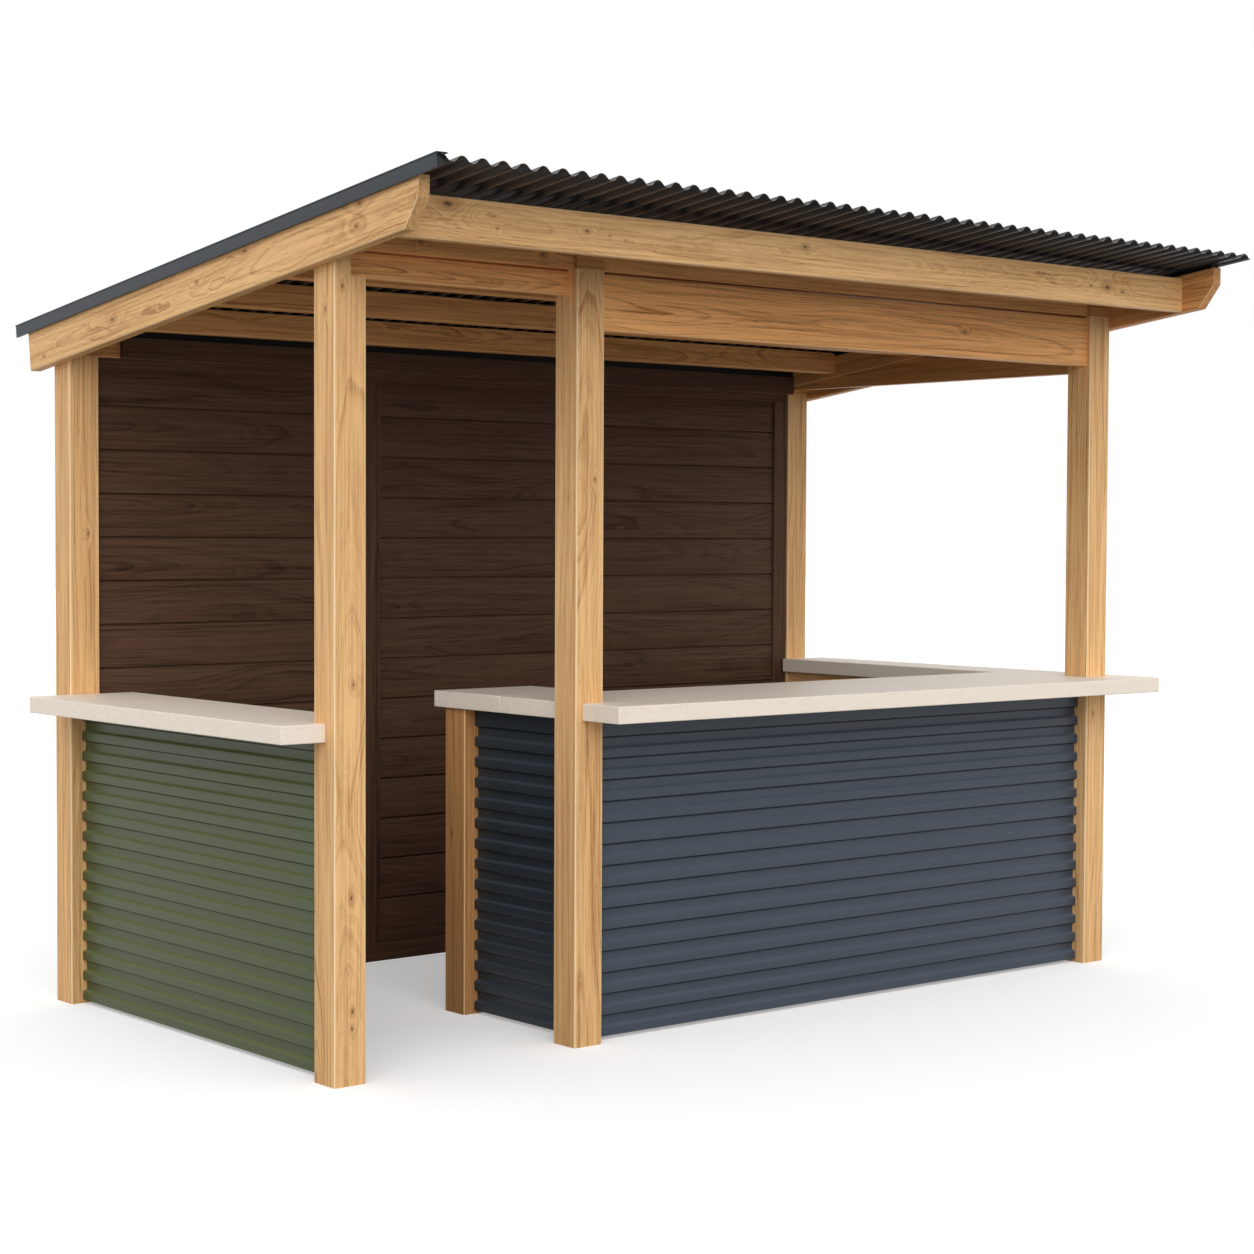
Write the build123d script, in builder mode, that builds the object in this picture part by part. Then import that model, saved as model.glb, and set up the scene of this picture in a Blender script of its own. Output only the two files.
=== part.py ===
# Wooden market stall: five posts, a single-pitch corrugated roof, a boarded
# back wall and stone-look counters on ribbed panels round three sides.
# Millimetres. +X runs to the right along the front, +Y to the back, +Z up.
# The origin lies on the ground, in the middle of the plan of the whole stall.

import math
import os

from build123d import *

# Frame timbers
post = 120                    # square section of every post
frame_width = 3790            # over the outer faces of the end posts
frame_depth = 1910            # over the front and back faces of the posts
entry_width = 857             # clear way between the front left and middle posts
arris = 3                     # planed corner on the long edges of the timbers

# Roof
roof_pitch = 7.05             # degrees, high at the front
roof_height = 2769            # rafter tops, above the front faces of the front posts
rafter_depth = 148            # measured square to the slope
rafter_thickness = 45
rafter_front_overhang = 520   # rafter tips, in front of the posts
rafter_back_overhang = 124    # rafter ends, behind the back posts
tail_plumb = 67               # upright part of the rafter tip
tail_setback = 72             # how far the splayed cut runs back under the tip
fascia_setback = 155          # fascia's front face, behind the rafter tips
fascia_thickness = 45
fascia_depth = 135
fascia_drop = 12              # its top, below the rafter tops
purlin_thickness = 70
purlin_depth = 79             # below the rafter tops
purlin_spacing = 480          # centre to centre, measured level
last_purlin_gap = 218         # clear gap between the last purlin and the back beam
inner_rafter_thickness = 70
inner_rafter_depth = 94
inner_rafter_inset = 14       # from the inner faces of the right-hand posts
batten_height = 14            # lifts the sheets off the rafters
batten_width = 45
batten_setback = 12           # behind the front face of what carries it
batten_joint = 5              # clear gap between the battens that meet at a rafter

# Heads of the front
head_plate_depth = 101        # plates and head blocks, at the front faces of the posts
header_gap = 8                # shadow gap over the header beams
header_left_depth = 80
header_left_thickness = 45
header_left_setback = 45      # behind the front faces of the posts
header_left_bearing = 58      # how far it is let into the corner post
header_right_depth = 195
header_right_thickness = 60
header_right_setback = 20
plate_setback = 20
plate_thickness = 90

# Back of the frame
back_beam_depth = 128         # at its front face
side_rail_lift = 20           # underside, above the heads of the back posts
side_rail_thickness = 50

# Corrugated roofing
wave_pitch = 76
wave_depth = 18
sheet_thickness = 3
waves_per_sheet = 10          # the last sheet also takes what is left over
first_crest_inset = 38        # first crest, outside the left-hand posts
sheet_right_overhang = 86     # last trough, outside the right-hand posts
sheet_front_overhang = 633
sheet_back_overhang = 176
sheet_joint = 0.5
trim_overhang = 60            # outer face of the verge trim, outside the posts
trim_front_end = 4            # the trim's length past the sheets, at the front
trim_back_end = 18            # and at the back
trim_drop = 10                # below the rafter tops
trim_flange = 44
trim_thickness = 3
trim_lip = 3                  # the trim's height above the crests

# Back wall
wall_setback = 10             # rails and stiles, behind the front faces of the back posts
rail_thickness = 45
board_setback = 12            # boards, behind the faces of the rails
board_thickness = 28
board_count = 14
groove_width = 6
groove_depth = 5
wall_ground_gap = 10
bottom_rail_top = 83
top_rail_depth = 35
stile_width = 96
stile_centre = 1348           # from the outer face of the left-hand posts
end_stile_width = 78
head_board_thickness = 20
head_board_start = 210        # from the outer face of the left-hand posts

# Counters
worktop_thickness = 60
worktop_edge = 3              # eased arris of the slabs
left_counter_height = 1161
front_counter_height = 1187
counter_post_setback = 711    # the counter's end post, behind the front faces of the posts
counter_post_inset = 48       # its left face, from the middle post's left face
left_outer_overhang = 166
left_inner_reach = 258        # inner edge, from the outer faces of the posts
left_front_setback = 50       # front end, behind the post's front face
left_inner_end = 228          # front end of the inner part
front_overhang = 197
front_reach = 471             # rear edge, behind the front faces of the posts
front_left_end = 58           # left end, from the middle post's left face
return_overhang = 20
return_width = 454
return_tail = 44              # past the counter's end post
right_overhang = 102
right_inner_reach = 148       # inner edge, from the outer faces of the posts

# Ribbed counter panels
panel_setback = 46            # crests, behind the outer faces of the posts
rib_pitch = 75
rib_flat = 31
rib_slope = 7
rib_depth = 16
panel_thickness = 3
panel_ground_gap = 14
counter_rail_thickness = 38
counter_rail_depth = 70

# Levels and lines that follow from the sizes above. The stall reaches from the
# left to the right worktop, and from end to end of the leaning verge trim.
pitch = math.radians(roof_pitch)
crest_top = batten_height + sheet_thickness + wave_depth
trim_top = crest_top + trim_lip
trim_lean = (trim_top - trim_drop) * math.sin(pitch)
trim_shift = (trim_back_end - trim_front_end) * math.cos(pitch)
left = -(frame_width + right_overhang - left_outer_overhang) / 2
front = -(frame_depth + sheet_back_overhang - sheet_front_overhang + trim_shift + trim_lean) / 2
right = left + frame_width
back = front + frame_depth
back_post_face = back - post
middle_post = left + post + entry_width
end_post = right - post
counter_post_left = middle_post + counter_post_inset
counter_post_face = front + counter_post_setback


def roof_z(y, below=0):
    """Height of the rafter tops at y, less a depth measured plumb."""
    return roof_height - (y - front) * math.tan(pitch) - below


def roof_plane(y, lift=0):
    """Plane across the slope at y, looking up the slope, its x along +X."""
    normal = Vector(0, math.sin(pitch), math.cos(pitch))
    origin = Vector(0, y, roof_z(y)) + normal * lift
    return Plane(origin=origin, x_dir=(1, 0, 0), z_dir=(0, -math.cos(pitch), math.sin(pitch)))


# Heads of the posts, hung from the slope of the roof
head_height = roof_height - head_plate_depth
back_post_height = roof_z(back_post_face, back_beam_depth)
side_rail_bottom = back_post_height + side_rail_lift

os.makedirs("parts", exist_ok=True)


def save(piece, label):
    """Name the piece and write it as a file of its own."""
    piece.label = label
    export_step(piece, f"parts/{label}.step")


def upright(x, y, height, base=0):
    """A square post on its left front corner, with planed corners."""
    with BuildPart() as timber:
        with BuildSketch(Plane.XY.offset(base)):
            with Locations((x, y)):
                Rectangle(post, post, align=(Align.MIN, Align.MIN))
        extrude(amount=height - base)
        chamfer(timber.edges().filter_by(Axis.Z), arris)
    return timber.part


def beam(x_start, x_end, outline):
    """A timber along X from its outline of (y, z) points, with planed corners."""
    with BuildPart() as timber:
        with BuildSketch(Plane.YZ.offset(x_start)):
            with BuildLine():
                Polyline(*outline, close=True)
            make_face()
        extrude(amount=x_end - x_start)
        chamfer(timber.edges().filter_by(Axis.X), arris)
    return timber.part


def box_outline(y_start, y_end, z_start, z_end):
    """Rectangular outline of a beam."""
    return [(y_start, z_start), (y_end, z_start), (y_end, z_end), (y_start, z_end)]


def sloped_outline(y_start, y_end, z_start, drop=0):
    """Outline of a beam whose top is planed to the slope, at a drop below the rafter tops."""
    top_start = (y_start, roof_z(y_start, drop))
    top_end = (y_end, roof_z(y_end, drop))
    return [(y_start, z_start), (y_end, z_start), top_end, top_start]


# Posts. The front left one runs up to the roof and is notched for a header.
header_left_top = head_height - header_gap
header_left_bottom = header_left_top - header_left_depth
header_left_face = front + header_left_setback
header_left_back = header_left_face + header_left_thickness
header_left_start = left + post - header_left_bearing

with BuildPart() as post_front_left:
    with BuildSketch(Plane.XY):
        with Locations((left, front)):
            Rectangle(post, post, align=(Align.MIN, Align.MIN))
    extrude(amount=roof_height)
    chamfer(post_front_left.edges().filter_by(Axis.Z), arris)
    split(bisect_by=Plane(origin=(0, front, roof_height),
                          z_dir=(0, math.sin(pitch), math.cos(pitch))), keep=Keep.BOTTOM)
    with BuildSketch(Plane.YZ.offset(header_left_start)):
        with BuildLine():
            Polyline(*box_outline(front - post, header_left_back, header_left_bottom,
                                  header_left_top), close=True)
        make_face()
    extrude(amount=post, mode=Mode.SUBTRACT)
save(post_front_left.part, "post_front_left")

save(upright(middle_post, front, head_height), "post_front_middle")
save(upright(end_post, front, head_height), "post_front_right")
save(upright(left, back_post_face, back_post_height), "post_back_left")
save(upright(end_post, back_post_face, back_post_height), "post_back_right")

front_worktop_base = front_counter_height - worktop_thickness
left_worktop_base = left_counter_height - worktop_thickness
save(upright(counter_post_left, counter_post_face, front_worktop_base), "post_counter_end")

# Blocks on the heads of the middle and right posts, planed to the slope
with BuildPart() as post_head_blocks:
    for block_left in (middle_post, end_post):
        with BuildSketch(Plane.YZ.offset(block_left)):
            with BuildLine():
                Polyline(*sloped_outline(front, front + post, head_height), close=True)
            make_face()
        extrude(amount=post)
save(post_head_blocks.part, "post_head_blocks")

# Header beams under the front
save(beam(header_left_start, middle_post,
          box_outline(header_left_face, header_left_back, header_left_bottom, header_left_top)),
     "header_beam_left")
header_right_face = front + header_right_setback
save(beam(middle_post + post, end_post,
          box_outline(header_right_face, header_right_face + header_right_thickness,
                      head_height - header_gap - header_right_depth, head_height - header_gap)),
     "header_beam_right")

# Head plates between the posts, their tops planed to the slope
plate_face = front + plate_setback
plate_back = plate_face + plate_thickness
with BuildPart() as head_plates:
    for plate_start, plate_end in ((left + post, middle_post), (middle_post + post, end_post)):
        with BuildSketch(Plane.YZ.offset(plate_start)):
            with BuildLine():
                Polyline(*sloped_outline(plate_face, plate_back, head_height), close=True)
            make_face()
        extrude(amount=plate_end - plate_start)
save(head_plates.part, "head_plates")

# Back beam over the back posts, between the end rafters
save(beam(left, right, sloped_outline(back_post_face, back, back_post_height)), "back_beam")

# End rafters on the outer faces of the posts, with a splayed tail at the front
rafter_tip = front - rafter_front_overhang
rafter_end = back + rafter_back_overhang
rafter_drop = rafter_depth / math.cos(pitch)
end_shift = rafter_depth * math.sin(pitch)


def end_rafter(x_start):
    """A rafter with an upright tip, a splayed tail and a square back end."""
    splay_y = rafter_tip + tail_setback
    with BuildPart() as rafter:
        with BuildSketch(Plane.YZ.offset(x_start)):
            with BuildLine():
                Polyline(
                    (rafter_tip, roof_z(rafter_tip)),
                    (rafter_end, roof_z(rafter_end)),
                    (rafter_end - end_shift, roof_z(rafter_end - end_shift, rafter_drop)),
                    (splay_y, roof_z(splay_y, rafter_drop)),
                    (rafter_tip, roof_z(rafter_tip) - tail_plumb),
                    close=True,
                )
            make_face()
        extrude(amount=rafter_thickness)
        chamfer(rafter.faces().filter_by(Axis.X).edges(), arris)
    return rafter.part


save(end_rafter(left - rafter_thickness), "end_rafter_left")
save(end_rafter(right), "end_rafter_right")

# Fascia between the rafter tails. It stays clear of the sheets that pass over it.
fascia_face = rafter_tip + fascia_setback
fascia_back = fascia_face + fascia_thickness
fascia_bottom = roof_z(fascia_face, fascia_drop + fascia_depth)
save(beam(left, right, sloped_outline(fascia_face, fascia_back, fascia_bottom, fascia_drop)),
     "fascia_beam")

# Inner rafter over the right side, on a rail whose top follows the slope
inner_rafter_left_face = end_post + inner_rafter_inset
inner_drop = inner_rafter_depth / math.cos(pitch)
with BuildPart() as inner_rafter_right:
    with BuildSketch(Plane.YZ.offset(inner_rafter_left_face)):
        with BuildLine():
            Polyline(
                (front + post, roof_z(front + post, inner_drop)),
                (back_post_face, roof_z(back_post_face, inner_drop)),
                (back_post_face, roof_z(back_post_face)),
                (front + post, roof_z(front + post)),
                close=True,
            )
        make_face()
    extrude(amount=inner_rafter_thickness)
    chamfer(inner_rafter_right.faces().filter_by(Axis.X).edges(), arris)
save(inner_rafter_right.part, "inner_rafter_right")

side_rail_left_face = inner_rafter_left_face + (inner_rafter_thickness - side_rail_thickness) / 2
with BuildPart() as side_rail_right:
    with BuildSketch(Plane.YZ.offset(side_rail_left_face)):
        with BuildLine():
            Polyline(
                (front + post, side_rail_bottom),
                (back_post_face, side_rail_bottom),
                (back_post_face, roof_z(back_post_face, inner_drop)),
                (front + post, roof_z(front + post, inner_drop)),
                close=True,
            )
        make_face()
    extrude(amount=side_rail_thickness)
save(side_rail_right.part, "side_rail_right")

# Purlins between the left rafter and the inner rafter, their tops against the sheets
sheet_drop = -batten_height / math.cos(pitch)
for name, place in (("front", 2), ("middle", 1), ("rear", 0)):
    purlin_face = back_post_face - last_purlin_gap - purlin_thickness - place * purlin_spacing
    purlin_back = purlin_face + purlin_thickness
    purlin_bottom = roof_z(purlin_face, purlin_depth)
    save(beam(left, inner_rafter_left_face,
              sloped_outline(purlin_face, purlin_back, purlin_bottom, sheet_drop)),
         f"purlin_{name}")

# Battens along the end rafters, and across the plates and the back beam
rafter_batten_start = rafter_end - batten_setback * math.cos(pitch)
rafter_batten_length = (rafter_end - rafter_tip) / math.cos(pitch) - 2 * batten_setback
with BuildPart() as roof_battens:
    with BuildSketch(roof_plane(rafter_batten_start, batten_height / 2)):
        with Locations((left - rafter_thickness / 2, 0), (right + rafter_thickness / 2, 0)):
            Rectangle(rafter_thickness, batten_height)
    extrude(amount=rafter_batten_length)
    for carrier_face in (plate_face, back_post_face):
        batten_back = carrier_face + batten_setback + batten_width
        with BuildSketch(roof_plane(batten_back, batten_height / 2)):
            with Locations(((left + right) / 2, 0)):
                Rectangle(frame_width - 2 * batten_joint, batten_height)
        extrude(amount=batten_width)
save(roof_battens.part, "roof_battens")

# Corrugated roofing sheets: tangent arcs across the slope, run up the slope
half_thickness = sheet_thickness / 2
half_wave = wave_pitch / 2
wave_swing = 2 * math.atan2(wave_depth, half_wave)
wave_radius = half_wave / 2 / math.sin(wave_swing)
sheet_front = front - sheet_front_overhang
sheet_back = back + sheet_back_overhang
sheet_length = (sheet_back - sheet_front) / math.cos(pitch)
sheet_mid = batten_height + half_thickness + wave_depth / 2
joint_swing = sheet_joint / 2 / wave_radius


def wave_point(x, crest, swing, side):
    """Point of the crest (1) or trough (-1) arc at x, on the upper (1) or lower (-1) skin."""
    radius = wave_radius + crest * side * half_thickness
    centre = sheet_mid + crest * (wave_depth / 2 - wave_radius)
    return (x + radius * math.sin(swing), centre + crest * radius * math.cos(swing))


def corrugated_sheet(start, half_waves):
    """A sheet from a crest at start, as wide as the given number of half waves."""
    with BuildPart() as sheet:
        with BuildSketch(roof_plane(sheet_back)):
            with BuildLine():
                ends = []
                for side in (1, -1):
                    for step in range(half_waves + 1):
                        crest = 1 if step % 2 == 0 else -1
                        x = start + step * half_wave
                        first = joint_swing if step == 0 else -wave_swing
                        last = -joint_swing if step == half_waves else wave_swing
                        swings = (first, (first + last) / 2, last)
                        arc = ThreePointArc(*(wave_point(x, crest, swing, side) for swing in swings))
                        if step in (0, half_waves):
                            ends.append(arc @ (0 if step == 0 else 1))
                Line(ends[0], ends[2])
                Line(ends[1], ends[3])
            make_face()
        extrude(amount=sheet_length)
    return sheet.part


first_crest = left - first_crest_inset
roof_half_waves = round((right + sheet_right_overhang - first_crest) / half_wave)
sheet_half_waves = 2 * waves_per_sheet
sheet_count = roof_half_waves // sheet_half_waves
for number in range(sheet_count):
    sheet_start = first_crest + number * waves_per_sheet * wave_pitch
    left_over = roof_half_waves - sheet_count * sheet_half_waves if number == sheet_count - 1 else 0
    save(corrugated_sheet(sheet_start, sheet_half_waves + left_over), f"roof_sheet_{number + 1}")

# Folded verge trim over the left edge of the sheets
trim_face = left - trim_overhang
trim_length = sheet_length + trim_front_end + trim_back_end
trim_start = sheet_back + trim_back_end * math.cos(pitch)
with BuildPart() as verge_trim_left:
    with BuildSketch(roof_plane(trim_start)):
        with BuildLine():
            Polyline(
                (trim_face, -trim_drop),
                (trim_face + trim_thickness, -trim_drop),
                (trim_face + trim_thickness, trim_top - trim_thickness),
                (trim_face + trim_flange, trim_top - trim_thickness),
                (trim_face + trim_flange, trim_top),
                (trim_face, trim_top),
                close=True,
            )
        make_face()
    extrude(amount=trim_length)
save(verge_trim_left.part, "verge_trim_left")

# Back wall: rails and stiles with grooved boards between them
wall_face = back_post_face + wall_setback
wall_left = left + post
wall_right = end_post
wall_top = back_post_height
boards_bottom = bottom_rail_top
boards_top = wall_top - top_rail_depth
stile_left = left + stile_centre - stile_width / 2
stile_right = stile_left + stile_width
end_stile_left = wall_right - end_stile_width
rail_back = wall_face + rail_thickness

save(beam(wall_left, wall_right, box_outline(wall_face, rail_back, wall_ground_gap, bottom_rail_top)),
     "wall_bottom_rail")
save(beam(wall_left, wall_right, box_outline(wall_face, rail_back, boards_top, wall_top)),
     "wall_top_rail")


def stile(x_start, width):
    """An upright of the back wall between its bottom and top rails."""
    with BuildPart() as timber:
        with BuildSketch(Plane.XY.offset(boards_bottom)):
            with Locations((x_start, wall_face)):
                Rectangle(width, rail_thickness, align=(Align.MIN, Align.MIN))
        extrude(amount=boards_top - boards_bottom)
        chamfer(timber.edges().filter_by(Axis.Z), arris)
    return timber.part


save(stile(stile_left, stile_width), "wall_stile_middle")
save(stile(end_stile_left, end_stile_width), "wall_stile_right")

board_face = wall_face + board_setback
board_back = board_face + board_thickness
board_pitch = (boards_top - boards_bottom) / board_count


def boarding(x_start, x_end):
    """Boards laid level, one above the other, with a V groove at each joint on both faces."""
    with BuildPart() as boards:
        with BuildSketch(Plane.YZ.offset(x_start)):
            with BuildLine():
                outline = [(boards_bottom, 0)]
                for row in range(1, board_count):
                    joint = boards_bottom + row * board_pitch
                    outline += [(joint - groove_width / 2, 0), (joint, groove_depth)]
                    outline += [(joint + groove_width / 2, 0)]
                outline += [(boards_top, 0)]
                front_line = [(board_face + depth, z) for z, depth in outline]
                back_line = [(board_back - depth, z) for z, depth in reversed(outline)]
                Polyline(*front_line, *back_line, close=True)
            make_face()
        extrude(amount=x_end - x_start)
    return boards.part


save(boarding(wall_left, stile_left), "wall_boards_left")
save(boarding(stile_right, end_stile_left), "wall_boards_right")

# Dark board planted on the face of the back beam
with BuildPart() as wall_head_board:
    head_board_face = back_post_face - head_board_thickness
    with BuildSketch(Plane.YZ.offset(left + head_board_start)):
        with BuildLine():
            Polyline(
                (head_board_face, back_post_height),
                (back_post_face, back_post_height),
                (back_post_face, roof_z(back_post_face)),
                (head_board_face, roof_z(back_post_face)),
                close=True,
            )
        make_face()
    extrude(amount=inner_rafter_left_face - left - head_board_start)
save(wall_head_board.part, "wall_head_board")

# Ribbed panels and their rails under the counters
panel_depth = rib_depth + panel_thickness


def rib_line(top, shift):
    """Points (depth, z) of the ribbed sheet from its foot to its top, crests at depth shift."""
    ribs = int((top - panel_ground_gap) // rib_pitch)
    line = []
    for rib in range(ribs):
        z = panel_ground_gap + rib * rib_pitch
        line += [(shift, z), (shift, z + rib_flat)]
        line += [(shift + rib_depth, z + rib_flat + rib_slope)]
        line += [(shift + rib_depth, z + rib_pitch - rib_slope)]
    line += [(shift, panel_ground_gap + ribs * rib_pitch), (shift, top)]
    return line


def counter_panel(plane, face, inward, top, length):
    """A ribbed sheet whose crests lie at face, set up across its length."""
    crests = [(face + inward * depth, z) for depth, z in rib_line(top, 0)]
    backs = [(face + inward * depth, z) for depth, z in rib_line(top, panel_thickness)]
    with BuildPart() as panel:
        with BuildSketch(plane):
            with BuildLine():
                Polyline(*crests)
                Polyline(*backs)
                Line(crests[0], backs[0])
                Line(crests[-1], backs[-1])
            make_face()
        extrude(amount=length)
    return panel.part


def counter_rails(plane, face, inward, top, length):
    """Bottom, middle and top rails behind a panel, the top one under the worktop."""
    middle = (panel_ground_gap + top - counter_rail_depth) / 2
    across = face + inward * (panel_depth + counter_rail_thickness / 2)
    with BuildPart() as rails:
        for base in (panel_ground_gap, middle, top - counter_rail_depth):
            with BuildSketch(plane):
                with Locations((across, base + counter_rail_depth / 2)):
                    Rectangle(counter_rail_thickness, counter_rail_depth)
            extrude(amount=length)
    return rails.part


counter_runs = {
    "left": (Plane.XZ.offset(-back_post_face), left + panel_setback, 1, left_worktop_base,
             frame_depth - 2 * post),
    "front": (Plane.YZ.offset(middle_post + post), front + panel_setback, 1, front_worktop_base,
              end_post - middle_post - post),
    "return": (Plane.XZ.offset(-counter_post_face), counter_post_left + panel_setback, 1,
               front_worktop_base, counter_post_setback - post),
    "right": (Plane.XZ.offset(-back_post_face), right - panel_setback, -1, front_worktop_base,
              frame_depth - 2 * post),
}
for name, run in counter_runs.items():
    save(counter_panel(*run), f"counter_panel_{name}")
    save(counter_rails(*run), f"counter_rails_{name}")


def worktop(outline, height, hole=None):
    """A slab from its plan, with eased edges and an optional square hole for a post."""
    with BuildPart() as slab:
        with BuildSketch(Plane.XY.offset(height - worktop_thickness)):
            with BuildLine():
                Polyline(*outline, close=True)
            make_face()
            if hole:
                with Locations(hole):
                    Rectangle(post, post, align=(Align.MIN, Align.MIN), mode=Mode.SUBTRACT)
        extrude(amount=worktop_thickness)
        chamfer(slab.faces().filter_by(Axis.Z).edges(), worktop_edge)
    return slab.part


left_outer = left - left_outer_overhang
left_inner = left + left_inner_reach
left_end = front + left_front_setback
save(worktop([
    (left_outer, left_end), (left, left_end), (left, front + post), (left + post, front + post),
    (left + post, front + left_inner_end), (left_inner, front + left_inner_end),
    (left_inner, back_post_face), (left_outer, back_post_face),
], left_counter_height), "worktop_left")

front_edge = front - front_overhang
front_rear = front + front_reach
front_end = middle_post + front_left_end
return_outer = counter_post_left - return_overhang
right_outer = right + right_overhang
save(worktop([
    (front_end, front_edge), (right_outer, front_edge), (right_outer, front_rear),
    (return_outer, front_rear), (return_outer, front + post), (middle_post + post, front + post),
    (middle_post + post, front), (front_end, front),
], front_counter_height, hole=(end_post, front)), "worktop_front")

return_back = counter_post_face + post + return_tail
save(worktop([
    (return_outer, front_rear), (return_outer + return_width, front_rear),
    (return_outer + return_width, return_back), (return_outer, return_back),
], front_counter_height), "worktop_return")

right_inner = right - right_inner_reach
save(worktop([
    (right_inner, front_rear), (right_outer, front_rear),
    (right_outer, back_post_face), (right_inner, back_post_face),
], front_counter_height), "worktop_right")
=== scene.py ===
# %% [markdown]
# # A timber market stall
# The stall is a frame of square honey-coloured posts under a single-pitch corrugated
# roof. Dark boards close the back, and pale worktops lie on ribbed metal panels round
# three sides. The construction is already settled and comes in as a fixed frame of
# parts, so this lesson is about finishes: solid-looking timber, folded sheet metal and
# speckled slabs. Every length is in metres, in the same frame as the parts.

# %% The fixed parts
import math

import bmesh
import bpy
from mathutils import Matrix, Vector


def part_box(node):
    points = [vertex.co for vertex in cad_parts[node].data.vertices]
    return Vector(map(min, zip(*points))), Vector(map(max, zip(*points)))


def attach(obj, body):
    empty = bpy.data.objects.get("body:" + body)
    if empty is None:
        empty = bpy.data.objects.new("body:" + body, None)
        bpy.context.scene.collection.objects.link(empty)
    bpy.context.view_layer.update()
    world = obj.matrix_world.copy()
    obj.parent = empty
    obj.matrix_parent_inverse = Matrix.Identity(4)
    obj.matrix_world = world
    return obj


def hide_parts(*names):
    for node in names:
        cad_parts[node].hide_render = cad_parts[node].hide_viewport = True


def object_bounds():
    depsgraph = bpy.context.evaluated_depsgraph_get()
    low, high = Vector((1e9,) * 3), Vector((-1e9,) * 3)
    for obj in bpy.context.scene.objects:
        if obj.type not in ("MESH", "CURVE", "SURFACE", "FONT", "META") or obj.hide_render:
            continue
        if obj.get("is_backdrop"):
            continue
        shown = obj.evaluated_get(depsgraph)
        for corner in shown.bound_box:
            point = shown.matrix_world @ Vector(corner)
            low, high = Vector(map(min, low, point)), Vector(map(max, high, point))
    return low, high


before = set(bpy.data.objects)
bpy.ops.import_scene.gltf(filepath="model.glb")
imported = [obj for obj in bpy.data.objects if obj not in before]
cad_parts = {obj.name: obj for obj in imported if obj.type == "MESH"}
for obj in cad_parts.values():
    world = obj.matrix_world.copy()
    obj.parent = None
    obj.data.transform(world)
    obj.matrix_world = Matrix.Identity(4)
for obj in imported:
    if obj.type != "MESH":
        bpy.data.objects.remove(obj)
cad_low, cad_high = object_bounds()
print("parts:", len(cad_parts), "stall size:", [round(side, 3) for side in cad_high - cad_low])

# %% [markdown]
# ## The view
# A photograph fixes where the camera stood, if enough corners of known size are found
# in it. The posts, slabs and roof edges give the place, counted from the foot of the
# front left post, the direction and the focal length. Blender wants a lens in
# millimetres for its 36 mm sensor, so the focal length in pixels is scaled by the width
# of the picture.

# %% Camera
picture_width = 1254
focal_length_in_pixels = 2453.87
sensor_width = 36.0
camera_from_post = Vector((-4.2484, -6.5394, 1.7732))
turn_to_right = 0.6949
tilt_up = -0.0385
roll_to_left = 0.0044
corner_low, corner_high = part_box("post_front_left")


def camera_axes(turn, tilt, roll):
    """Right, up and backward directions of a camera turned from +Y, tilted and rolled."""
    forward = Vector((math.sin(turn) * math.cos(tilt), math.cos(turn) * math.cos(tilt), math.sin(tilt)))
    level = Vector((math.cos(turn), -math.sin(turn), 0))
    plumb = level.cross(forward)
    right = level * math.cos(roll) + plumb * math.sin(roll)
    up = plumb * math.cos(roll) - level * math.sin(roll)
    return right, up, -forward


lens = bpy.data.cameras.new("stall_camera")
lens.sensor_width = sensor_width
lens.lens = focal_length_in_pixels * sensor_width / picture_width
camera = bpy.data.objects.new("stall_camera", lens)
turned = Matrix(camera_axes(turn_to_right, tilt_up, roll_to_left)).transposed().to_4x4()
camera.matrix_world = Matrix.Translation(corner_low + camera_from_post) @ turned
bpy.context.scene.collection.objects.link(camera)
bpy.context.scene.camera = camera
print("lens:", round(lens.lens, 2), "mm")

# %% [markdown]
# ## Writing a finish as a sum
# Node trees are easier to read as arithmetic. The `Wire` class below holds one socket
# and adds the matching node whenever it meets a plus, a times or a minus. Single numbers
# go through Math nodes. Colours and directions go through Vector Math, which keeps all
# three channels. `Wiring.node` adds any other node: its settings first, then what feeds
# its sockets.

# %% Sockets that behave like numbers


def is_wide(term):
    """True for a colour or a direction, false for a single number."""
    if isinstance(term, Wire):
        return term.socket.type in ("VECTOR", "RGBA")
    return not isinstance(term, (int, float))


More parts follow.
